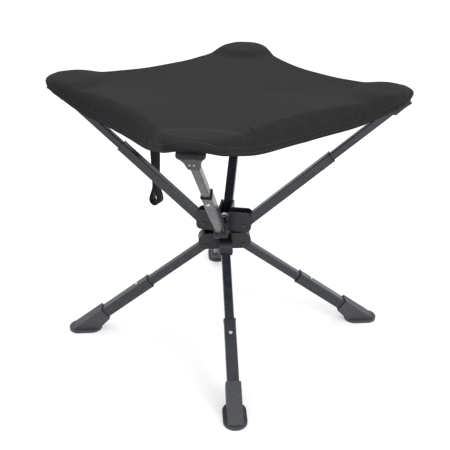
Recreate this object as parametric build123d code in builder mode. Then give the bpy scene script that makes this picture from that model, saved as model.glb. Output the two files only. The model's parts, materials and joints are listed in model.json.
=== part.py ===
from build123d import *
import os
from math import cos, hypot, radians, sin, sqrt, tan

# Folding camp stool with four telescoping arms, four telescoping legs and a cloth seat.
# Millimetres, +Z up. The origin is on the floor under the hub, and the arms lie along X and Y.

# Whole stool
FLOOR_TO_PLATE = 440.5   # to the middle of a corner plate's underside
LEG_TWIST = 12.0         # the ring of legs is turned this far from the ring of arms
ARM_RISE = 43.1          # arm angle above the horizontal when the stool is open
LEG_DROP = 36.25         # leg angle below the horizontal when the stool is open
ARM_AZIMUTHS = {"right": 0, "back": 90, "left": 180, "front": 270}
LEG_AZIMUTHS = {side: azimuth + LEG_TWIST for side, azimuth in ARM_AZIMUTHS.items()}

# Square tubes: outside width, wall, and the places along the limb, measured from its pivot
ARM_OUTER, ARM_INNER = 16.0, 12.4
LEG_OUTER, LEG_INNER = 19.0, 15.0
WALL = 1.2
TUBE_ROUND = 2.2
TAIL = 5.0               # tube behind the pivot
ARM_MOUTH = 188.5        # mouth of the arm's outer tube
ARM_OVERLAP = 50.0       # inner tube inside the outer one, fully extended
ARM_TIP = 328.0          # end of the arm's inner tube, inside the cup
CUP_START, CUP_END = 306.0, 338.0  # the cup's neck, from its lower end to the plate
LEG_MOUTH = 124.5        # mouth of the leg's outer tube
LEG_OVERLAP = 50.0
LEG_END = 262.0          # end of the leg's outer tube, inside the foot
FOOT_MOUTH = 225.5       # upper end of the foot's sleeve

# Hub
HUB_SPLIT = 193.0        # the face where the two castings meet
ARM_PIVOT = (34.0, 207.1)    # radius and height
LEG_PIVOT = (32.0, 167.9)
CHEEK = 3.0
SIDE_GAP = 0.3           # each side of a tube between its cheeks
STOP_GAP = 0.25
TAIL_GAP = 0.3           # round the swinging end of a tube
UPPER_REACH, UPPER_BOTTOM, UPPER_TOP, UPPER_CORE_TOP = 47.0, 196.0, 231.0, 218.0
LOWER_REACH, LOWER_BOTTOM, LOWER_TOP, LOWER_CORE_BOTTOM = 45.0, 161.0, 190.0, 163.0
UPPER_ROUND, LOWER_ROUND = 9.0, 13.0  # outer corners of the forks
BOLT_R, BOLT_HEAD_R, BOLT_HEAD_H = 4.0, 7.5, 5.0
NUT_ACROSS, NUT_H, WASHER_R, WASHER_H = 13.0, 6.5, 8.5, 1.6
BOLT_FIT = 0.05
PIN_R, PIN_HEAD_R, PIN_HEAD_H = 2.5, 4.2, 1.5
PIN_FIT = 0.05

# Collars and snap buttons
LINER_LENGTH, FLANGE, FLANGE_LIP = 14.0, 1.6, 0.5
SLIDE_FIT = 0.05
BUTTON_R, BUTTON_SET_BACK, BUTTON_PROUD = 3.0, 22.0, 2.0
BUTTON_FIT = 0.08
LEAF_LENGTH, LEAF_WIDTH, LEAF_THICK = 22.0, 7.0, 0.6

# Cups and their plates
PLATE_RADIUS_AT = 243.0  # centre of the plate, from the stool's axis
PLATE_TILT = 4.0         # the plate rises outwards
PLATE_LONG, PLATE_WIDE, PLATE_THICK, PLATE_DOME = 60.0, 84.0, 9.0, 6.0
SOCKET, NECK_LOW, NECK_HIGH, NECK_BEVEL = 18.4, -7.0, 11.0, 1.5
# The neck flares: height above its lower end, width and corner radius
NECK_SECTIONS = (2.5, 18.4, 4.0), (16.0, 22.5, 4.5), (25.0, 29.0, 5.0), (32.0, 38.0, 5.0)
RIB_WIDE, RIB_INNER, RIB_OUTER = 14.0, 222.0, 270.0  # the rib between the neck and the plate
RIVET_R, RIVET_HEIGHT, RIVET_SPREAD = 1.5, 1.2, 5.4
RIVET_AT = 18.0          # up from the neck's lower end

# Feet
SOLE_HEEL, SOLE_TOE, SOLE_WIDE, SOLE_THICK = 223.0, 281.0, 37.0, 5.0
SLEEVE_WIDE = 24.0
FOOT_FIT = 0.05

# Seat cloth
CLOTH = 3.0
SEAT_CENTRE_Z, SEAT_PLATE_Z, SEAT_HEM_Z = 432.0, 436.0, 438.0
SEAT_PLATE_EDGE = 211.0  # the cloth petals stop short of the plates here
HEM_MID = 134.0          # x and y of the middle of a hem
PETAL_CORNER = 60.0      # half of a petal's width beside the plate
SEAM = 0.3               # half of the gap between two petals
HEM_BOTTOM_Z = 411.0     # the hem hangs down to here

# Carrying strap
STRAP_WIDE, STRAP_THICK = 20.0, 1.6
STRAP_X, STRAP_Y, STRAP_TOP, STRAP_BOTTOM, STRAP_LOOP_R = -131.0, 52.0, 434.0, 208.0, 7.0


def limb_plane(azimuth, pivot, rise):
    """A plane at a limb's pivot: Z runs out along the limb, X is sideways and Y is the limb's upper side."""
    a, t = radians(azimuth), radians(rise)
    radius, height = pivot
    return Plane(
        origin=(radius * cos(a), radius * sin(a), height),
        x_dir=(-sin(a), cos(a), 0),
        z_dir=(cos(a) * cos(t), sin(a) * cos(t), sin(t)),
    )


def side_plane(azimuth, offset=0.0):
    """The upright plane through the stool's axis at an azimuth: X is the radius and Y is up."""
    a = radians(azimuth)
    return Plane(origin=(0, 0, 0), x_dir=(cos(a), sin(a), 0), z_dir=(sin(a), -cos(a), 0)).offset(offset)


def pin_plane(azimuth, pivot):
    """A plane across a pivot whose Z is the pivot's axis."""
    plane = side_plane(azimuth)
    origin = plane.from_local_coords((pivot[0], pivot[1], 0))
    return Plane(origin=origin, x_dir=plane.x_dir, z_dir=plane.z_dir)


def square_tube(plane, start, end, width, wall=WALL):
    """A square tube with rounded corners between two places along a limb."""
    with BuildPart() as tube:
        with BuildSketch(plane.offset(start)):
            RectangleRounded(width, width, TUBE_ROUND)
            RectangleRounded(width - 2 * wall, width - 2 * wall, TUBE_ROUND - wall, mode=Mode.SUBTRACT)
        extrude(amount=end - start)
    return tube.part


def round_cut(shape, plane, radius, reach, both=True):
    """A shape with a round hole along a plane's Z axis."""
    with BuildPart() as cut:
        add(shape)
        with BuildSketch(plane):
            Circle(radius)
        extrude(amount=reach, both=both, mode=Mode.SUBTRACT)
    return cut.part


def button_plane(plane, place, side):
    """A plane at a snap button: Z points out of the tube's upper (side 1) or lower (side -1) face."""
    origin = plane.from_local_coords((0, 0, place))
    return Plane(origin=origin, x_dir=plane.x_dir, z_dir=plane.y_dir * side)


def save(part, node):
    part.label = node
    export_step(part, f"parts/{node}.step")


def clevis_casting(azimuths, pivot, rise, tube, reach, bottom, top, core_bottom, core_top, corner):
    """A hub casting: a square core and four forks, each with a stop web that its tube rests on."""
    half = tube / 2 + SIDE_GAP
    swing = hypot(TAIL, tube / 2) + TAIL_GAP
    with BuildPart() as casting:
        with BuildSketch(Plane.XY.offset(core_bottom)):
            Rectangle(2 * (half + CHEEK), 2 * (half + CHEEK), rotation=azimuths[0])
        extrude(amount=core_top - core_bottom)
        for azimuth in azimuths:
            for cheek_side in (-1, 1):
                with BuildSketch(side_plane(azimuth, cheek_side * (half + CHEEK / 2))):
                    with Locations(((half + reach) / 2, (bottom + top) / 2)):
                        RectangleRounded(reach - half, top - bottom, corner)
                    with Locations(((3 * half + reach) / 4, (bottom + top) / 2)):
                        Rectangle((reach - half) / 2, top - bottom)
                extrude(amount=CHEEK / 2, both=True)
            limb = limb_plane(azimuth, pivot, rise)
            face = -1 if rise > 0 else 1
            with BuildSketch(side_plane(azimuth)):
                with BuildLine():
                    level = bottom if face < 0 else top
                    Polyline(*web_outline(pivot, rise, tube, reach, level, face), close=True)
                make_face()
                with Locations(((half + reach) / 2, (bottom + top) / 2)):
                    RectangleRounded(reach - half, top - bottom, corner, mode=Mode.INTERSECT)
                with Locations(pivot):
                    Circle(swing, mode=Mode.SUBTRACT)
            extrude(amount=half, both=True)
        with BuildSketch(Plane.XY.offset(core_bottom)):
            Circle(BOLT_R + BOLT_FIT)
        extrude(amount=core_top - core_bottom, mode=Mode.SUBTRACT)
        for azimuth in azimuths:
            with BuildSketch(pin_plane(azimuth, pivot)):
                Circle(PIN_R + PIN_FIT)
            extrude(amount=half + CHEEK, both=True, mode=Mode.SUBTRACT)
    return casting.part


def web_outline(pivot, rise, tube, reach, level, face):
    """The stop web's outline in its fork's plane: it lies along the tube's face, clear by STOP_GAP."""
    t = radians(rise)
    stand_off = face * (tube / 2 + STOP_GAP)
    inner = pivot[0] + 2.0

    def along(radius):
        return pivot[1] + (radius - pivot[0]) * tan(t) + stand_off / cos(t)

    outer = reach - 0.5
    return [(inner, level - face), (outer, level - face), (outer, along(outer)), (inner, along(inner))]


def rivet(azimuth, pivot, half):
    """A pivot rivet: a shank through both cheeks with a low domed head at each end."""
    plane = pin_plane(azimuth, pivot)
    with BuildPart() as pin:
        with BuildSketch(plane.offset(-half)):
            Circle(PIN_R)
        extrude(amount=2 * half)
        for end, way in ((half, 1), (-half, -1)):
            with BuildSketch(plane.offset(end)):
                Circle(PIN_HEAD_R)
            extrude(amount=way * PIN_HEAD_H, taper=25)
    return pin.part


def rivet_group(azimuths, pivot, half):
    with BuildPart() as group:
        for azimuth in azimuths:
            add(rivet(azimuth, pivot, half))
    return group.part


def collar(plane, mouth, outer, inner, way):
    """A plastic collar: a liner inside the outer tube's mouth and a thin flange over its end."""
    bore = inner + 2 * SLIDE_FIT
    liner = outer - 2 * WALL - SLIDE_FIT
    with BuildPart() as ring:
        with BuildSketch(plane.offset(mouth)):
            RectangleRounded(outer + 2 * FLANGE_LIP, outer + 2 * FLANGE_LIP, TUBE_ROUND)
        extrude(amount=way * FLANGE)
        with BuildSketch(plane.offset(mouth)):
            RectangleRounded(liner, liner, TUBE_ROUND - WALL)
        extrude(amount=-way * LINER_LENGTH)
        with BuildSketch(plane.offset(mouth - way * LINER_LENGTH)):
            RectangleRounded(bore, bore, TUBE_ROUND + SLIDE_FIT)
        extrude(amount=way * (LINER_LENGTH + FLANGE), mode=Mode.SUBTRACT)
    return ring.part


def snap_button(plane, outer, inner):
    """A snap button: a round-nosed pin that stands out through both tubes, on its leaf spring's end."""
    nose = outer / 2 + BUTTON_PROUD
    seat = inner / 2 - WALL - 0.1
    with BuildPart() as button:
        with BuildSketch(plane.offset(seat - LEAF_THICK)):
            RectangleRounded(LEAF_WIDTH, LEAF_LENGTH, 2.0)
        extrude(amount=LEAF_THICK)
        with BuildSketch(plane.offset(seat)):
            Circle(BUTTON_R)
        extrude(amount=nose - seat)
        fillet(button.faces().sort_by(Axis(plane.origin, plane.z_dir))[-1].edges(), 1.2)
    return button.part


def neck_low(up):
    """How far the neck's lower face is from the arm's centre line, at a height above its lower end."""
    return SOCKET / 2 + (-NECK_LOW - SOCKET / 2) * up / (CUP_END - CUP_START)


def cup(azimuth, plane):
    """A corner cup: a domed oval plate on a flared neck round the arm's tip, with a rib on its inner side."""
    side = side_plane(azimuth)
    tilt, rise = radians(PLATE_TILT), radians(ARM_RISE)
    out = side.x_dir
    deck = Plane(
        origin=side.from_local_coords((PLATE_RADIUS_AT, FLOOR_TO_PLATE, 0)),
        x_dir=(out.X * cos(tilt), out.Y * cos(tilt), sin(tilt)),
        z_dir=(-out.X * sin(tilt), -out.Y * sin(tilt), cos(tilt)),
    )

    def on_arm(place, inward=0.0):
        return ARM_PIVOT[0] + place * cos(rise) - inward, ARM_PIVOT[1] + place * sin(rise)

    def in_plate(radius):
        return radius, FLOOR_TO_PLATE + (radius - PLATE_RADIUS_AT) * tan(tilt) + 1.0

    bore = ARM_INNER + 0.1
    with BuildPart() as body:
        with BuildSketch(deck):
            Ellipse(PLATE_LONG / 2, PLATE_WIDE / 2)
        extrude(amount=PLATE_THICK)
        fillet(body.faces().sort_by(Axis(deck.origin, deck.z_dir))[-1].edges(), PLATE_DOME)
        with BuildSketch(side):
            with BuildLine():
                Polyline(
                    on_arm(CUP_START + 4.0), on_arm(CUP_END, 6.0), in_plate(RIB_OUTER), in_plate(RIB_INNER),
                    close=True,
                )
            make_face()
        extrude(amount=RIB_WIDE / 2, both=True)
        with BuildSketch(plane.offset(CUP_START)):
            RectangleRounded(SOCKET - 2 * NECK_BEVEL, SOCKET - 2 * NECK_BEVEL, 3.0)
        for up, width, corner in NECK_SECTIONS:
            low = -neck_low(up)
            high = SOCKET / 2 + (NECK_HIGH - SOCKET / 2) * up / (CUP_END - CUP_START)
            with BuildSketch(plane.offset(CUP_START + up)):
                with Locations((0, (low + high) / 2)):
                    RectangleRounded(width, high - low, corner)
        loft(ruled=True)
        with BuildSketch(plane.offset(CUP_START)):
            RectangleRounded(bore, bore, TUBE_ROUND)
        extrude(amount=ARM_TIP - CUP_START + 0.2, mode=Mode.SUBTRACT)
    return body.part


def cup_rivets(plane):
    """Two small blind rivets side by side on the outer face of the cup's neck."""
    face = button_plane(plane, CUP_START + RIVET_AT, -1)
    wall = ARM_INNER / 2 + 0.1
    skin = neck_low(RIVET_AT)
    with BuildPart() as pair:
        with BuildSketch(face.offset(wall)):
            with Locations((-RIVET_SPREAD / 2, 0), (RIVET_SPREAD / 2, 0)):
                Circle(RIVET_R)
        extrude(amount=skin + RIVET_HEIGHT - wall)
    return pair.part


def foot(azimuth, plane):
    """A rubber foot: a square sleeve round the tube that runs down into a flat, round-ended sole."""
    side = side_plane(azimuth)
    radius, height = LEG_PIVOT
    t = radians(LEG_DROP)

    def at(along, up):
        return radius + along * cos(t) + up * sin(t), height - along * sin(t) + up * cos(t)

    top = SLEEVE_WIDE / 2
    mouth_top, mouth_bottom = at(FOOT_MOUTH, top), at(FOOT_MOUTH, -top)
    heel_top = (SOLE_HEEL + 3.0, SOLE_THICK)
    toe_top = (SOLE_TOE - 7.0, SOLE_THICK)
    upper_end = (SOLE_TOE - 12.0, mouth_top[1] - (SOLE_TOE - 12.0 - mouth_top[0]) * tan(t))
    middle = side.from_local_coords(((SOLE_HEEL + SOLE_TOE) / 2, 0, 0))
    with BuildPart() as boot:
        with BuildSketch(side):
            with BuildLine():
                Polyline(mouth_top, mouth_bottom, heel_top, (SOLE_HEEL + 3.0, 1.0),
                         (SOLE_TOE - 7.0, 1.0), toe_top, upper_end, close=True)
            make_face()
        extrude(amount=SLEEVE_WIDE / 2, both=True)
        with BuildSketch(Plane(origin=middle, x_dir=side.x_dir, z_dir=(0, 0, 1))):
            RectangleRounded(SOLE_TOE - SOLE_HEEL, SOLE_WIDE, SOLE_WIDE / 2 - 0.5)
        extrude(amount=SOLE_THICK)
        with BuildSketch(plane.offset(FOOT_MOUTH - 1.0)):
            RectangleRounded(LEG_OUTER + 2 * FOOT_FIT, LEG_OUTER + 2 * FOOT_FIT, TUBE_ROUND)
        extrude(amount=LEG_END - FOOT_MOUTH + 1.2, mode=Mode.SUBTRACT)
    return boot.part


def seat_petal(azimuth):
    """A corner's share of the cloth: two flat halves that meet over the arm, with hems hanging down."""
    rise = (SEAT_PLATE_Z - SEAT_CENTRE_Z) / SEAT_PLATE_EDGE
    fall = (SEAT_HEM_Z - SEAT_CENTRE_Z - HEM_MID * rise) / HEM_MID
    plate_side = (SEAT_PLATE_EDGE, 0), (SEAT_PLATE_EDGE, PETAL_CORNER)
    outline = [(2 * SEAM, 0), *plate_side, (HEM_MID, HEM_MID - 2 * SEAM)]
    hem_inner = 1 - CLOTH / (sqrt(2) * HEM_MID)
    a = radians(azimuth)
    with BuildPart() as petal:
        for half in (1, -1):
            plan, corners = [], []
            for x, y in outline:
                height = SEAT_CENTRE_Z + rise * x + fall * y
                y = y * half
                plan.append((x * cos(a) - y * sin(a), x * sin(a) + y * cos(a)))
                corners.append(Vector(*plan[-1], height))
            along = (corners[1] - corners[0]).normalized()
            sheet = Plane(origin=corners[0], x_dir=along, z_dir=along.cross(corners[3] - corners[0]) * half)
            flat = [sheet.to_local_coords(corner) for corner in corners]
            with BuildSketch(sheet):
                with BuildLine():
                    Polyline(*[(point.X, point.Y) for point in flat], close=True)
                make_face()
            extrude(amount=CLOTH, dir=(0, 0, 1))
            hem = plan[2:] + [(x * hem_inner, y * hem_inner) for x, y in plan[:1:-1]]
            with BuildSketch(Plane.XY.offset(HEM_BOTTOM_Z)):
                with BuildLine():
                    Polyline(*hem, close=True)
                make_face()
            extrude(amount=SEAT_HEM_Z + 1.0 - HEM_BOTTOM_Z)
    return petal.part


def strap():
    """A webbing strap: two layers down from the seat that open into a small loop at the lower end."""
    loop_at = STRAP_BOTTOM + STRAP_LOOP_R
    across = Plane(origin=(STRAP_X, STRAP_Y, 0), x_dir=(0, -1, 0), z_dir=(-1, 0, 0))
    with BuildPart() as webbing:
        with BuildSketch(across):
            with BuildLine():
                Polyline((-STRAP_THICK, STRAP_TOP), (STRAP_THICK, STRAP_TOP), (STRAP_THICK, loop_at + 30.0),
                         (STRAP_LOOP_R, loop_at), (-STRAP_LOOP_R, loop_at),
                         (-STRAP_THICK, loop_at + 30.0), close=True)
            make_face()
            with Locations((0, loop_at)):
                Circle(STRAP_LOOP_R)
            with Locations((0, loop_at)):
                Circle(STRAP_LOOP_R - STRAP_THICK, mode=Mode.SUBTRACT)
            with BuildLine():
                Polyline((0, loop_at + 22.0), (STRAP_LOOP_R - STRAP_THICK, loop_at),
                         (-STRAP_LOOP_R + STRAP_THICK, loop_at), close=True)
            make_face(mode=Mode.SUBTRACT)
        extrude(amount=STRAP_WIDE / 2, both=True)
    return webbing.part


os.makedirs("parts", exist_ok=True)

# Hub
arm_azimuths = list(ARM_AZIMUTHS.values())
leg_azimuths = list(LEG_AZIMUTHS.values())
save(clevis_casting(arm_azimuths, ARM_PIVOT, ARM_RISE, ARM_OUTER, UPPER_REACH,
                    UPPER_BOTTOM, UPPER_TOP, HUB_SPLIT, UPPER_CORE_TOP, UPPER_ROUND), "hub_upper")
save(clevis_casting(leg_azimuths, LEG_PIVOT, -LEG_DROP, LEG_INNER, LOWER_REACH,
                    LOWER_BOTTOM, LOWER_TOP, LOWER_CORE_BOTTOM, HUB_SPLIT, LOWER_ROUND), "hub_lower")
save(rivet_group(arm_azimuths, ARM_PIVOT, ARM_OUTER / 2 + SIDE_GAP + CHEEK), "arm_pivot_rivets")
save(rivet_group(leg_azimuths, LEG_PIVOT, LEG_INNER / 2 + SIDE_GAP + CHEEK), "leg_pivot_rivets")

with BuildPart() as hub_bolt:
    with BuildSketch(Plane.XY.offset(LOWER_CORE_BOTTOM - WASHER_H - NUT_H - 1.5)):
        Circle(BOLT_R)
    extrude(amount=UPPER_CORE_TOP - LOWER_CORE_BOTTOM + WASHER_H + NUT_H + 1.5)
    with BuildSketch(Plane.XY.offset(UPPER_CORE_TOP)):
        Circle(BOLT_HEAD_R)
    extrude(amount=BOLT_HEAD_H)
    fillet(hub_bolt.faces().sort_by(Axis.Z)[-1].edges(), 3.5)
save(hub_bolt.part, "hub_bolt")

with BuildPart() as hub_nut:
    with BuildSketch(Plane.XY.offset(LOWER_CORE_BOTTOM - WASHER_H)):
        Circle(WASHER_R)
    extrude(amount=WASHER_H)
    with BuildSketch(Plane.XY.offset(LOWER_CORE_BOTTOM - WASHER_H - NUT_H)):
        RegularPolygon(NUT_ACROSS / 2, 6, major_radius=False)
    extrude(amount=NUT_H)
    with BuildSketch(Plane.XY.offset(LOWER_CORE_BOTTOM - WASHER_H - NUT_H)):
        Circle(BOLT_R + BOLT_FIT)
    extrude(amount=WASHER_H + NUT_H, mode=Mode.SUBTRACT)
save(hub_nut.part, "hub_nut")

# Arms: outer tube at the hub, inner tube out to the cup
for side, azimuth in ARM_AZIMUTHS.items():
    limb = limb_plane(azimuth, ARM_PIVOT, ARM_RISE)
    button_at = button_plane(limb, ARM_MOUTH - BUTTON_SET_BACK, -1)
    outer_tube = square_tube(limb, -TAIL, ARM_MOUTH, ARM_OUTER)
    outer_tube = round_cut(outer_tube, pin_plane(azimuth, ARM_PIVOT), PIN_R + PIN_FIT, ARM_OUTER)
    outer_tube = round_cut(outer_tube, button_at, BUTTON_R + BUTTON_FIT, ARM_OUTER, both=False)
    inner_tube = square_tube(limb, ARM_MOUTH - ARM_OVERLAP, ARM_TIP, ARM_INNER)
    inner_tube = round_cut(inner_tube, button_at, BUTTON_R + BUTTON_FIT, ARM_OUTER, both=False)
    save(outer_tube, f"arm_outer_{side}")
    save(inner_tube, f"arm_inner_{side}")
    save(collar(limb, ARM_MOUTH, ARM_OUTER, ARM_INNER, 1), f"arm_collar_{side}")
    save(snap_button(button_at, ARM_OUTER, ARM_INNER), f"arm_button_{side}")
    pegs = cup_rivets(limb)
    with BuildPart() as cup_body:
        add(cup(azimuth, limb))
        add(pegs, mode=Mode.SUBTRACT)
    save(cup_body.part, f"cup_{side}")
    save(pegs, f"cup_rivets_{side}")

# Legs: inner tube at the hub, outer tube down to the foot
for side, azimuth in LEG_AZIMUTHS.items():
    limb = limb_plane(azimuth, LEG_PIVOT, -LEG_DROP)
    button_at = button_plane(limb, LEG_MOUTH + BUTTON_SET_BACK, 1)
    upper_tube = square_tube(limb, -TAIL, LEG_MOUTH + LEG_OVERLAP, LEG_INNER)
    upper_tube = round_cut(upper_tube, pin_plane(azimuth, LEG_PIVOT), PIN_R + PIN_FIT, LEG_INNER)
    upper_tube = round_cut(upper_tube, button_at, BUTTON_R + BUTTON_FIT, LEG_OUTER, both=False)
    lower_tube = square_tube(limb, LEG_MOUTH, LEG_END, LEG_OUTER)
    lower_tube = round_cut(lower_tube, button_at, BUTTON_R + BUTTON_FIT, LEG_OUTER, both=False)
    save(upper_tube, f"leg_upper_{side}")
    save(lower_tube, f"leg_lower_{side}")
    save(collar(limb, LEG_MOUTH, LEG_OUTER, LEG_INNER, -1), f"leg_collar_{side}")
    save(snap_button(button_at, LEG_OUTER, LEG_INNER), f"leg_button_{side}")
    save(foot(azimuth, limb), f"foot_{side}")

# Seat
for side, azimuth in ARM_AZIMUTHS.items():
    save(seat_petal(azimuth), f"seat_petal_{side}")
save(strap(), "strap")
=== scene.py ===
import json
import math

import bpy
import numpy as np
from mathutils import Matrix, Vector


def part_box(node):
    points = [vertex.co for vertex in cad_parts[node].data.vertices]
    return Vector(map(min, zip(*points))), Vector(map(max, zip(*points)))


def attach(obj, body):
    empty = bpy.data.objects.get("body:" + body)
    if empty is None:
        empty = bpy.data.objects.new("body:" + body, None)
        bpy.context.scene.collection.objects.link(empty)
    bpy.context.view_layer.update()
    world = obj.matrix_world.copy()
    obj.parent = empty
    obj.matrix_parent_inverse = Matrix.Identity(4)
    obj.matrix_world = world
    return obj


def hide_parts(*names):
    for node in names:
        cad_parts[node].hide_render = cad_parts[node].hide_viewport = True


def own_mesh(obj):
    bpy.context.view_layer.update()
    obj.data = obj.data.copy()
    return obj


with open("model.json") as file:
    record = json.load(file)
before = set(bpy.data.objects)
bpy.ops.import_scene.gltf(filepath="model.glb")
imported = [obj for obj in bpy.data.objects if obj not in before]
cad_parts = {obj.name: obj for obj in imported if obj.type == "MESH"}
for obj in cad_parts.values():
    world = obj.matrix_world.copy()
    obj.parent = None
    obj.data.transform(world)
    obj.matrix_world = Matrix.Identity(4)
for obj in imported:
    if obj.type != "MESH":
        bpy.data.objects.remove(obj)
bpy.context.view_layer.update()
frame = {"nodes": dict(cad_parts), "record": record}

# A folding camp stool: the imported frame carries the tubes, hub, cups and feet, and this script adds the cloth
# seat, its hems, pockets and stitching, the carrying strap, the materials, the light and the camera.
# Metres, +Z up, the stool's axis is Z, and the arms lie along X and Y.

MM = 0.001
ARMS = {"right": 0, "back": 90, "left": 180, "front": 270}

# The seat in one arm's own frame: X runs out along the arm and Y is sideways
LOBE_AT, LOBE_LONG, LOBE_WIDE = 247 * MM, 40 * MM, 46 * MM
WRAP_END = math.radians(65)   # the outline follows the lobe's oval up to this angle
WRAP_SHARE = 0.35             # that part of the outline's parameter
HEM_MID = 136 * MM            # x and y of the middle of a hem, seen from above
PLATE_AT, PLATE_LONG, PLATE_WIDE = 243 * MM, 30 * MM, 42 * MM
PLATE_TOP_Z, PLATE_SLOPE = 450.8 * MM, math.tan(math.radians(4))
CENTRE_Z, CREST_Z = 437 * MM, 445 * MM
PLATE_EASE, PLATE_EASE_OVER = 0.75, 1.0         # where the cloth leaves the plate, in sizes of its oval
# The hem's lower edge: its height at the middle, its even rise to the arm, and a bump there and its degrees
HEM_Z, HEM_LIFT, HEM_RISE, HEM_RISE_ANGLE = 409 * MM, 4 * MM, 30 * MM, 13.0
INSET_AT_TIP, INSET_AT_MID = 19 * MM, 25 * MM   # the cloth starts to turn down this far inside its outline
TURN_AT_TIP, TURN_AT_MID = math.radians(135), math.radians(92)  # and turns through this angle
INSET_ANGLE, TURN_ANGLE = 30, 22                # degrees from the arm where each has its middle value
MID_ANGLE = 45                                  # degrees from the arm to the middle of a hem
PETAL_EDGE = 212 * MM         # a petal ends here, and the plate's pocket begins
CLOTH, HEM_EXTRA, HEM_BAND = 1.0 * MM, 0.5 * MM, 13 * MM
HEM_BLEND = 1.2 * MM          # the hem's extra thickness fades out over this width
RIPPLE = 0.35 * MM            # height of the cloth's faint waves
RIPPLE_WAVES, RIPPLE_SHIFT = ((61, 17), (-11, 43)), 1.3  # radians per metre along X and Y, and radians
STEP = 0.5 * MM               # for measuring the cloth's slope where it turns down
SAMPLE = 0.004                # in u and v, for measuring the cloth's normal
NEAR_CENTRE = 0.02            # inside this v the normal is straight up

# Mesh density, and the seams
POCKET_COLUMNS, HEM_COLUMNS, PETAL_ROWS, POCKET_ROWS = 27, 26, 44, 30
JOIN_U = 0.0015               # beyond the pocket the petal takes the whole hem, within half a millimetre
SEAM_ROWS = {"a": 4 * MM, "b": 10.5 * MM}
STITCH_SPACING, STITCH_LONG, STITCH_THICK, STITCH_LIFT = 3.8 * MM, 2.6 * MM, 0.5 * MM, 0.1 * MM
STITCH_PROFILE = (-0.5, -0.1), (-0.28, 0.45), (0.28, 0.45), (0.5, -0.1)  # in its lengths and thicknesses
SEAM_STEPS, SEAM_SEARCH = 420, 0.02  # places tried along half a hem, and the step in v to find the row

# The strap hangs from the seat: its webbing, the loop at its end, and how it twists and sways
STRAP_THICK, STRAP_SHARE = 1.4 * MM, 0.94
STRAP_APART, LOOP_RADIUS, LOOP_CLEAR, LOOP_NECK = 0.95 * MM, 9.0 * MM, 0.8 * MM, 30 * MM
STRAP_TWIST, STRAP_SWAY, STRAP_BEVEL = math.radians(68), 2.0 * MM, 0.25 * MM
STRAP_STEPS, FLARE_STEPS, LOOP_STEPS = 13, 9, 17
STRAP_SECTION = (-0.5, -0.5), (-0.46, 0.5), (0.46, 0.5), (0.5, -0.5)  # in its widths and thicknesses

BAND_SHARE = 0.58             # a woven cloth's bands lie sqrt(2) / 0.58, about 2.4, thread pitches apart

# Camera and studio
CAMERA_AT = (0.1571, -1.0666, 0.7497)
CAMERA_AZIMUTH, CAMERA_ELEVATION, CAMERA_ROLL = (math.radians(x) for x in (8.325, 26.97, 0.06))
LENS, SENSOR = 56.5, 36.0
FLOOR_HALF, FLOOR_COLOUR, FLOOR_GLOW = 12.0, (0.8, 0.8, 0.8), 0.3
SKY_HEIGHTS, SKY_STRENGTHS = (-0.3, 0.06), (0.45, 1.0)  # the sky brightens from below the horizon to above
LAMPS = {                                       # position, size and power of each area lamp
    "key": ((-0.6, 0.5, 2.2), 1.6, 8),
    "fill": ((1.8, -1.4, 1.2), 1.2, 24),
    "front": ((0.3, -2.4, 0.45), 1.8, 9),
}
LAMPS_AIM = Vector((0, 0, 0.25))


# ---------------------------------------------------------------- the cloth's shape

def smooth(x):
    """Rises from 0 to 1 between x = 0 and x = 1, level at both ends."""
    x = min(max(x, 0.0), 1.0)
    return x * x * (3 - 2 * x)


def outline(u):
    """The seat's edge in plan, from the tip over the arm (u = 0) to the middle of a hem (u = 1 or -1)."""
    side, u = math.copysign(1, u), abs(u)
    if u <= WRAP_SHARE:
        t = WRAP_END * u / WRAP_SHARE
        return np.array([LOBE_AT + LOBE_LONG * math.cos(t), side * LOBE_WIDE * math.sin(t)])
    start = outline(WRAP_SHARE)
    heading = np.array([-LOBE_LONG * math.sin(WRAP_END), LOBE_WIDE * math.cos(WRAP_END)])
    # The bend lies where the tangent at the lobe meets the line along the hem's middle.
    bend = start + heading * (2 * HEM_MID - start.sum()) / heading.sum()
    t = (u - WRAP_SHARE) / (1 - WRAP_SHARE)
    x, y = (1 - t) ** 2 * start + 2 * t * (1 - t) * bend + t ** 2 * np.array([HEM_MID, HEM_MID])
    return np.array([x, side * y])


def top_height(x, y, share, azimuth):
    """The cloth's height over a point in plan: a shallow dish that rises to the hems and over the plate."""
    dish = CENTRE_Z + (CREST_Z - CENTRE_Z) * share ** 2
    plate = PLATE_TOP_Z + (x - PLATE_AT) * PLATE_SLOPE
    oval = math.hypot((x - PLATE_AT) / PLATE_LONG, y / PLATE_WIDE)
    near = 1 - smooth((oval - PLATE_EASE) / PLATE_EASE_OVER)
    a = math.radians(azimuth)
    gx, gy = x * math.cos(a) - y * math.sin(a), x * math.sin(a) + y * math.cos(a)
    first, second = (along * gx + across * gy for along, across in RIPPLE_WAVES)
    ripple = RIPPLE * math.sin(first) * math.sin(second + RIPPLE_SHIFT)
    return dish + near * (plate - dish) + ripple * (1 - near)


def seat_line(u, azimuth):
    """What the cloth does along one line from the centre: its heading, where it turns down, and how."""
    edge = outline(u)
    length = math.hypot(*edge)
    out = edge / length
    away = math.degrees(abs(math.atan2(edge[1], edge[0])))
    flat = length - INSET_AT_TIP - (INSET_AT_MID - INSET_AT_TIP) * smooth(away / INSET_ANGLE)
    low = HEM_Z + HEM_LIFT * (1 - away / MID_ANGLE) + HEM_RISE * math.exp(-(away / HEM_RISE_ANGLE) ** 2)
    height = [top_height(*(out * d), d / length, azimuth) for d in (flat - STEP, flat)]
    slope = (height[1] - height[0]) / STEP
    turn = TURN_AT_TIP + (TURN_AT_MID - TURN_AT_TIP) * smooth(away / TURN_ANGLE)
    return out, length, flat, low, height[1], slope, turn


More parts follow.
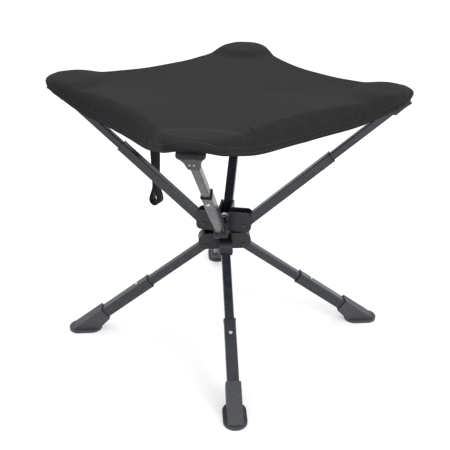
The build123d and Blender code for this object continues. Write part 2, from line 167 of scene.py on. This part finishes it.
def seat_point(u, v, azimuth):
    """The cloth's outer surface: v = 0 at the seat's centre, 1 where it turns down, 2 at its very edge."""
    out, length, flat, low, crest, slope, turn = seat_line(u, azimuth)
    if v <= 1:
        x, y = out * flat * v
        return np.array([x, y, top_height(x, y, flat * v / length, azimuth)])
    phi = (v - 1) * turn
    reach = (length - flat) * math.sin(phi)
    drop = (crest + slope * (length - flat) * math.sin(turn) - low) / (1 - math.cos(turn))
    return np.array([*(out * (flat + reach)), crest + slope * reach - drop * (1 - math.cos(phi))])


def turned(point, azimuth):
    """A point or direction of an arm's own frame, in the stool's frame."""
    a = math.radians(azimuth)
    x, y, z = point
    return np.array([x * math.cos(a) - y * math.sin(a), x * math.sin(a) + y * math.cos(a), z])


def seat_sample(u, v, azimuth):
    """A point of the cloth and its outward normal, in the stool's frame."""
    point = seat_point(u, v, azimuth)
    if v < NEAR_CENTRE:
        return turned(point, azimuth), np.array([0, 0, 1.0])
    along = seat_point(u, min(v + SAMPLE, 2.0), azimuth) - seat_point(u, v - SAMPLE, azimuth)
    if abs(u) < 1 - SAMPLE:
        across = seat_point(u + SAMPLE, v, azimuth) - seat_point(u - SAMPLE, v, azimuth)
    else:
        # On the diagonal the surface is its own mirror image.
        across = np.array([-1, math.copysign(1, u), 0]) * math.copysign(1, u)
        along = along - across * (along @ across) / 2
    normal = np.cross(along, across)
    return turned(point, azimuth), turned(normal / np.linalg.norm(normal), azimuth)


def edge_of_petal(u):
    """Where the petal ends along a line from the seat's centre, as seat_point's v."""
    x = outline(u)[0]
    if x <= PETAL_EDGE:
        return 2.0
    _, length, flat, *_, turn = seat_line(u, 0)
    distance = PETAL_EDGE / x * length
    if distance <= flat:
        return distance / flat
    return 1 + math.asin((distance - flat) / (length - flat)) / turn


def crossing():
    """The u at which the seat's outline passes the petal's edge."""
    low, high = 0.0, 1.0
    for _ in range(40):
        middle = (low + high) / 2
        low, high = (middle, high) if outline(middle)[0] > PETAL_EDGE else (low, middle)
    return low


def cloth_piece(name, us, v_start, v_end, rows, azimuth):
    """A double-sided piece of the cloth over lines of u, between two values of v, with a thicker hem."""
    outer, normals, inner = [], [], []
    for u in us:
        low, high = v_start(u), v_end(u)
        rim = turned(seat_point(u, 2.0, azimuth), azimuth)
        for i in range(rows + 1):
            point, normal = seat_sample(u, low + (high - low) * i / rows, azimuth)
            extra = HEM_EXTRA * (1 - smooth((np.linalg.norm(point - rim) - HEM_BAND) / HEM_BLEND))
            outer.append(point + normal * extra)
            inner.append(point - normal * (CLOTH + extra))
            normals.append(normal)
    count, width = len(us), rows + 1
    corners = [k * width + i for k in range(count - 1) for i in range(rows)]
    faces = [(a, a + 1, a + width + 1, a + width) for a in corners]
    half = len(outer)
    back = [tuple(half + i for i in reversed(f)) for f in faces]
    ring = [k * width for k in range(count)] + [(count - 1) * width + i for i in range(1, width)]
    ring += [k * width + rows for k in range(count - 2, -1, -1)] + list(range(rows - 1, 0, -1))
    sides = [(ring[i], ring[i - 1], half + ring[i - 1], half + ring[i]) for i in range(len(ring))]
    mesh = bpy.data.meshes.new(name)
    mesh.from_pydata([tuple(p) for p in outer + inner], [], faces + back + sides)
    mesh.polygons.foreach_set("use_smooth", [True] * len(mesh.polygons))
    mesh.normals_split_custom_set_from_vertices([tuple(n) for n in normals] + [tuple(-n) for n in normals])
    piece = bpy.data.objects.new(name, mesh)
    bpy.context.collection.objects.link(piece)
    grid = np.array(outer).reshape(count, width, 3)
    d1, d2 = grid[1:, 1:] - grid[:-1, :-1], grid[1:, :-1] - grid[:-1, 1:]
    area = 0.5 * np.linalg.norm(np.cross(d1, d2), axis=2).sum()
    return piece, float(area)


# ---------------------------------------------------------------- small meshes

def mesh_piece(name, points, faces, material):
    """A smooth-shaded object from points and faces."""
    mesh = bpy.data.meshes.new(name)
    mesh.from_pydata([tuple(p) for p in points], [], faces)
    mesh.validate()
    mesh.polygons.foreach_set("use_smooth", [True] * len(mesh.polygons))
    mesh.materials.append(material)
    piece = bpy.data.objects.new(name, mesh)
    bpy.context.collection.objects.link(piece)
    return piece


def stitches(name, spots, material):
    """A row of sewn stitches: each spot is a place, the way the seam runs and the cloth's normal."""
    points, faces = [], []
    for place, way, normal in spots:
        way = way / np.linalg.norm(way)
        side = np.cross(normal, way)
        base = len(points)
        for t, lift in STITCH_PROFILE:
            for s in (-0.5, 0.5):
                points.append(place + way * STITCH_LONG * t + (side * s + normal * lift) * STITCH_THICK)
        for k in range(3):
            a = base + 2 * k
            faces.append((a, a + 2, a + 3, a + 1))
        faces.append((base, base + 1, base + 7, base + 6))
        faces.append((base, base + 6, base + 4, base + 2))
        faces.append((base + 1, base + 3, base + 5, base + 7))
    return mesh_piece(name, points, faces, material)


# ---------------------------------------------------------------- materials

def new_material(name, colour, roughness, metallic=0.0, specular=0.5):
    """A material and its Principled shader."""
    material = bpy.data.materials.new(name)
    material.use_nodes = True
    shader = material.node_tree.nodes["Principled BSDF"]
    shader.inputs["Base Color"].default_value = (*colour, 1)
    shader.inputs["Roughness"].default_value = roughness
    shader.inputs["Metallic"].default_value = metallic
    shader.inputs["Specular IOR Level"].default_value = specular
    return material, shader


def texture(material, kind, scale, stretch=(1, 1, 1), **values):
    """A procedural texture in the object's own coordinates, in metres."""
    tree = material.node_tree
    place = tree.nodes.new("ShaderNodeTexCoord")
    mapping = tree.nodes.new("ShaderNodeMapping")
    mapping.inputs["Scale"].default_value = [scale * s for s in stretch]
    node = tree.nodes.new(kind)
    tree.links.new(place.outputs["Object"], mapping.inputs["Vector"])
    tree.links.new(mapping.outputs["Vector"], node.inputs["Vector"])
    for key, value in values.items():
        target = node.inputs.get(key.replace("_", " "))
        if target is not None:
            target.default_value = value
        else:
            setattr(node, key, value)
    return node


def vary(material, shader, socket, source, low, high, start=0.3, stop=0.7):
    """A texture's value drives a shader input between two values or colours."""
    tree = material.node_tree
    if isinstance(low, (int, float)):
        node = tree.nodes.new("ShaderNodeMapRange")
        node.inputs["From Min"].default_value, node.inputs["From Max"].default_value = start, stop
        node.inputs["To Min"].default_value, node.inputs["To Max"].default_value = low, high
        tree.links.new(source, node.inputs["Value"])
        tree.links.new(node.outputs["Result"], shader.inputs[socket])
    else:
        node = tree.nodes.new("ShaderNodeValToRGB")
        node.color_ramp.elements[0].position, node.color_ramp.elements[1].position = start, stop
        node.color_ramp.elements[0].color, node.color_ramp.elements[1].color = (*low, 1), (*high, 1)
        tree.links.new(source, node.inputs["Fac"])
        tree.links.new(node.outputs["Color"], shader.inputs[socket])


def bump(material, shader, source, distance, strength=1.0, base=None):
    """A texture's value raises the surface, on top of another bump if there is one."""
    tree = material.node_tree
    node = tree.nodes.new("ShaderNodeBump")
    node.inputs["Distance"].default_value = distance
    node.inputs["Strength"].default_value = strength
    tree.links.new(source, node.inputs["Height"])
    if base is not None:
        tree.links.new(base.outputs["Normal"], node.inputs["Normal"])
    tree.links.new(node.outputs["Normal"], shader.inputs["Normal"])
    return node


def woven(name, dark, light, pitch, roughness, sheen):
    """Woven cloth: crossing diagonal bands, coarser than its threads, a mottled dye and a little sheen."""
    material, shader = new_material(name, light, roughness, specular=0.08)
    shader.inputs["Sheen Weight"].default_value = sheen
    shader.inputs["Sheen Roughness"].default_value = 0.5
    tree = material.node_tree
    # A wave turns 20 radians for each unit along one axis, and a diagonal one 10 for each of x and y.
    scale = 2 * math.pi / pitch / 20.0 * BAND_SHARE
    bands = {"bands_direction": "DIAGONAL", "Scale": scale, "Distortion": 0.4, "Detail": 1.0}
    warp = texture(material, "ShaderNodeTexWave", 1.0, **bands)
    weft = texture(material, "ShaderNodeTexWave", 1.0, (1, -1, 1), **bands)
    cross = tree.nodes.new("ShaderNodeMath")
    cross.operation = "MULTIPLY"
    tree.links.new(warp.outputs["Fac"], cross.inputs[0])
    tree.links.new(weft.outputs["Fac"], cross.inputs[1])
    mottle = texture(material, "ShaderNodeTexNoise", 22.0, Detail=6.0, Roughness=0.6)
    vary(material, shader, "Base Color", mottle.outputs["Fac"], dark, light)
    vary(material, shader, "Roughness", mottle.outputs["Fac"], roughness - 0.06, roughness + 0.06)
    creases = texture(material, "ShaderNodeTexNoise", 14.0, (1, 1.6, 1), Detail=3.0, Roughness=0.5)
    soft = bump(material, shader, creases.outputs["Fac"], 1.2 * MM, 0.35)
    bump(material, shader, cross.outputs["Value"], 0.12 * MM, 0.7, base=soft)
    return material


def anodised(name, dark, light):
    """Satin anodised tube with a very fine grain and faint handling smudges."""
    material, shader = new_material(name, light, 0.3, metallic=0.1)
    smudge = texture(material, "ShaderNodeTexNoise", 16.0, Detail=2.0, Roughness=0.5)
    grain = texture(material, "ShaderNodeTexNoise", 1500.0, Detail=1.0)
    vary(material, shader, "Base Color", smudge.outputs["Fac"], dark, light, 0.25, 0.75)
    vary(material, shader, "Roughness", smudge.outputs["Fac"], 0.22, 0.32)
    bump(material, shader, grain.outputs["Fac"], 0.003 * MM, 0.2)
    return material


def moulded(name, dark, light, roughness, grain_scale=1400.0, depth=0.03):
    """Moulded plastic or rubber: a spark-eroded texture and slightly uneven gloss."""
    material, shader = new_material(name, light, roughness, specular=0.45)
    cloud = texture(material, "ShaderNodeTexNoise", 60.0, Detail=5.0, Roughness=0.6)
    grain = texture(material, "ShaderNodeTexNoise", grain_scale, Detail=3.0, Roughness=0.7)
    vary(material, shader, "Base Color", cloud.outputs["Fac"], dark, light)
    vary(material, shader, "Roughness", cloud.outputs["Fac"], roughness - 0.07, roughness + 0.07)
    bump(material, shader, grain.outputs["Fac"], depth * MM, 0.6)
    return material


def plated(name):
    """Plated steel fasteners with a fine turned finish."""
    material, shader = new_material(name, (0.62, 0.62, 0.63), 0.28, metallic=1.0)
    spots = texture(material, "ShaderNodeTexNoise", 220.0, Detail=4.0)
    vary(material, shader, "Base Color", spots.outputs["Fac"], (0.45, 0.45, 0.46), (0.72, 0.72, 0.72))
    vary(material, shader, "Roughness", spots.outputs["Fac"], 0.22, 0.38)
    bump(material, shader, spots.outputs["Fac"], 0.02 * MM, 0.4)
    return material


def make_materials():
    """One material for each of the record's slots, and one for the thread."""
    return {
        "seat_cloth": woven(
            "seat_cloth", (0.0155, 0.016, 0.0162), (0.0215, 0.022, 0.0222), 0.7 * MM, 0.85, 0.02,
        ),
        "webbing": woven("webbing", (0.014, 0.014, 0.014), (0.024, 0.024, 0.024), 1.6 * MM, 0.8, 0.2),
        "thread": woven("thread", (0.014, 0.014, 0.014), (0.024, 0.024, 0.024), 0.4 * MM, 0.7, 0.3),
        "tube": anodised("tube", (0.018, 0.0195, 0.0265), (0.027, 0.0295, 0.039)),
        "hub_plastic": moulded("hub_plastic", (0.006, 0.0065, 0.009), (0.010, 0.0105, 0.0145), 0.42),
        "cup_plastic": moulded("cup_plastic", (0.010, 0.0105, 0.012), (0.016, 0.0165, 0.019), 0.45),
        "collar_plastic": moulded("collar_plastic", (0.006, 0.006, 0.007), (0.012, 0.012, 0.013), 0.4),
        "foot_rubber": moulded(
            "foot_rubber", (0.035, 0.036, 0.042), (0.055, 0.057, 0.065), 0.55, 900.0, 0.06,
        ),
        "steel": plated("steel"),
        "dark_steel": moulded("dark_steel", (0.012, 0.012, 0.013), (0.03, 0.03, 0.032), 0.35),
    }


def paint_nodes(materials):
    """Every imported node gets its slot's material."""
    for part in frame["record"]["subparts"]:
        mesh = frame["nodes"][part["node"]].data
        mesh.materials.clear()
        mesh.materials.append(materials[part["material_slot"]])


# ---------------------------------------------------------------- pieces

def make_seat(materials):
    """The seat: four petals that ride on the arms' tips, and the four pockets over the plates."""
    turn_u = crossing()
    shared = np.linspace(0, turn_u, POCKET_COLUMNS)
    petal_us = np.concatenate([shared, [turn_u + JOIN_U], np.linspace(turn_u, 1, HEM_COLUMNS)[1:]])
    petal_us = np.concatenate([-petal_us[:0:-1], petal_us])
    pocket_us = np.concatenate([-shared[:0:-1], shared])
    for side, azimuth in ARMS.items():
        petal, area = cloth_piece(f"seat_{side}", petal_us, lambda u: 0.0, edge_of_petal, PETAL_ROWS, azimuth)
        petal.data.materials.append(materials["seat_cloth"])
        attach(petal, f"seat_petal_{side}")
        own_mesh(petal)
        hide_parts(f"seat_petal_{side}")
        pocket, area = cloth_piece(
            f"pocket_{side}", pocket_us, edge_of_petal, lambda u: 2.0, POCKET_ROWS, azimuth,
        )
        pocket.data.materials.append(materials["seat_cloth"])
        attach(pocket, f"arm_inner_{side}")
        seams(side, azimuth, turn_u, materials)


def seams(side, azimuth, turn_u, materials):
    """Two rows of stitches along the hem, on the petal and on the pocket."""
    for row, set_in in SEAM_ROWS.items():
        spots = {"petal": [], "pocket": []}
        for half in (1, -1):
            travelled, last = 0.0, None
            for u in np.linspace(0.0, 1.0, SEAM_STEPS):
                rim, v = seat_point(half * u, 2.0, azimuth), 2.0
                while np.linalg.norm(seat_point(half * u, v, azimuth) - rim) < set_in:
                    v -= SEAM_SEARCH
                point, normal = seat_sample(half * u, v, azimuth)
                if last is not None:
                    step = point - last
                    length = np.linalg.norm(step)
                    while travelled < length:
                        place = last + step * travelled / length + normal * (HEM_EXTRA + STITCH_LIFT)
                        spots["petal" if u > turn_u else "pocket"].append((place, step, normal))
                        travelled += STITCH_SPACING
                    travelled -= length
                last = point
        petal = stitches(f"stitch_{row}_{side}", spots["petal"], materials["thread"])
        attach(petal, f"seat_petal_{side}")
        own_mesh(petal)
        pocket = stitches(f"pocket_stitch_{row}_{side}", spots["pocket"], materials["thread"])
        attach(pocket, f"arm_inner_{side}")


def make_strap(materials):
    """The carrying strap: one length of webbing, doubled, that opens into a small loop at the bottom."""
    low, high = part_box("strap")
    middle = ((low[0] + high[0]) / 2, (low[1] + high[1]) / 2)
    width = (high[0] - low[0]) * STRAP_SHARE
    loop_z = low[2] + LOOP_RADIUS + LOOP_CLEAR
    neck_z = loop_z + LOOP_NECK
    # Half of the strap's line as seen from its edge, then the loop, then the same half mirrored
    down, flare = np.linspace(0, 1, STRAP_STEPS), np.linspace(0, 1, FLARE_STEPS)[1:]
    line = [(STRAP_APART, high[2] + (neck_z - high[2]) * t) for t in down]
    line += [
        (STRAP_APART + (LOOP_RADIUS - STRAP_APART) * smooth(t), neck_z + (loop_z - neck_z) * t) for t in flare
    ]
    half = list(line)
    line += [
        (LOOP_RADIUS * math.cos(t), loop_z - LOOP_RADIUS * math.sin(t))
        for t in np.linspace(0, math.pi, LOOP_STEPS)[1:-1]
    ]
    line += [(-x, z) for x, z in reversed(half)]
    points, faces = [], []
    for i, (across, z) in enumerate(line):
        before, after = line[max(i - 1, 0)], line[min(i + 1, len(line) - 1)]
        way = np.array([after[0] - before[0], after[1] - before[1]])
        way = way / np.linalg.norm(way)
        face = np.array([-way[1], way[0]])
        fallen = (high[2] - z) / (high[2] - low[2])
        twist = STRAP_TWIST * smooth(fallen)
        sway = STRAP_SWAY * math.sin(math.pi * fallen)
        for w, t in STRAP_SECTION:
            flat_x, flat_y = width * w, across + face[0] * STRAP_THICK * t
            x = flat_x * math.cos(twist) - flat_y * math.sin(twist)
            y = flat_x * math.sin(twist) + flat_y * math.cos(twist)
            points.append((middle[0] + x + sway, middle[1] + y, z + face[1] * STRAP_THICK * t))
        if i:
            for k in range(4):
                a, b = 4 * (i - 1) + k, 4 * (i - 1) + (k + 1) % 4
                faces.append((a, b, b + 4, a + 4))
    faces += [(3, 2, 1, 0), tuple(len(points) - 4 + k for k in range(4))]
    strap = mesh_piece("strap_webbing", points, faces, materials["webbing"])
    strap.modifiers.new("round", "BEVEL").width = STRAP_BEVEL
    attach(strap, "strap")
    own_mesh(strap)
    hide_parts("strap")


# ---------------------------------------------------------------- studio

def make_floor():
    """A large pale floor, staged so that it is no part of the stool."""
    plan = [(x * FLOOR_HALF, y * FLOOR_HALF, 0) for x, y in ((-1, -1), (1, -1), (1, 1), (-1, 1))]
    floor_mesh = bpy.data.meshes.new("floor")
    floor_mesh.from_pydata(plan, [], [(0, 1, 2, 3)])
    floor = bpy.data.objects.new("floor", floor_mesh)
    material, shader = new_material("floor", FLOOR_COLOUR, 0.9, specular=0.1)
    shader.inputs["Emission Color"].default_value = (1, 1, 1, 1)
    shader.inputs["Emission Strength"].default_value = FLOOR_GLOW
    floor_mesh.materials.append(material)
    bpy.context.collection.objects.link(floor)
    # The floor's bounce is left out of the diffuse light, so undersides stay dark against the pale floor.
    floor.visible_diffuse = False


def make_studio():
    """The floor, a white sky that is dimmer below the horizon, and three area lamps."""
    make_floor()
    world = bpy.data.worlds.new("studio")
    world.use_nodes = True
    tree = world.node_tree
    place = tree.nodes.new("ShaderNodeTexCoord")
    split = tree.nodes.new("ShaderNodeSeparateXYZ")
    height = tree.nodes.new("ShaderNodeMapRange")
    for end, at, strength in zip(("Min", "Max"), SKY_HEIGHTS, SKY_STRENGTHS):
        height.inputs[f"From {end}"].default_value = at
        height.inputs[f"To {end}"].default_value = strength
    tree.links.new(place.outputs["Generated"], split.inputs["Vector"])
    tree.links.new(split.outputs["Z"], height.inputs["Value"])
    tree.links.new(height.outputs["Result"], tree.nodes["Background"].inputs["Strength"])
    tree.nodes["Background"].inputs["Color"].default_value = (1, 1, 1, 1)
    bpy.context.scene.world = world
    bpy.context.scene.view_settings.view_transform = "Standard"
    for name, (position, size, power) in LAMPS.items():
        light = bpy.data.lights.new(name, "AREA")
        light.size, light.energy = size, power
        lamp = bpy.data.objects.new(name, light)
        lamp.location = position
        lamp.rotation_euler = (LAMPS_AIM - Vector(position)).to_track_quat("-Z", "Y").to_euler()
        bpy.context.collection.objects.link(lamp)


def make_camera():
    """The camera looks down at the front arm, turned a little from it."""
    level = math.cos(CAMERA_ELEVATION)
    ahead = Vector((
        -math.sin(CAMERA_AZIMUTH) * level, math.cos(CAMERA_AZIMUTH) * level, -math.sin(CAMERA_ELEVATION),
    ))
    lens = bpy.data.cameras.new("camera")
    lens.lens, lens.sensor_width = LENS, SENSOR
    camera = bpy.data.objects.new("camera", lens)
    turn = ahead.to_track_quat("-Z", "Y").to_matrix().to_4x4() @ Matrix.Rotation(CAMERA_ROLL, 4, "Z")
    camera.matrix_world = Matrix.Translation(CAMERA_AT) @ turn
    bpy.context.collection.objects.link(camera)
    bpy.context.scene.camera = camera


make_camera()
make_studio()
looks = make_materials()
paint_nodes(looks)
make_seat(looks)
make_strap(looks)
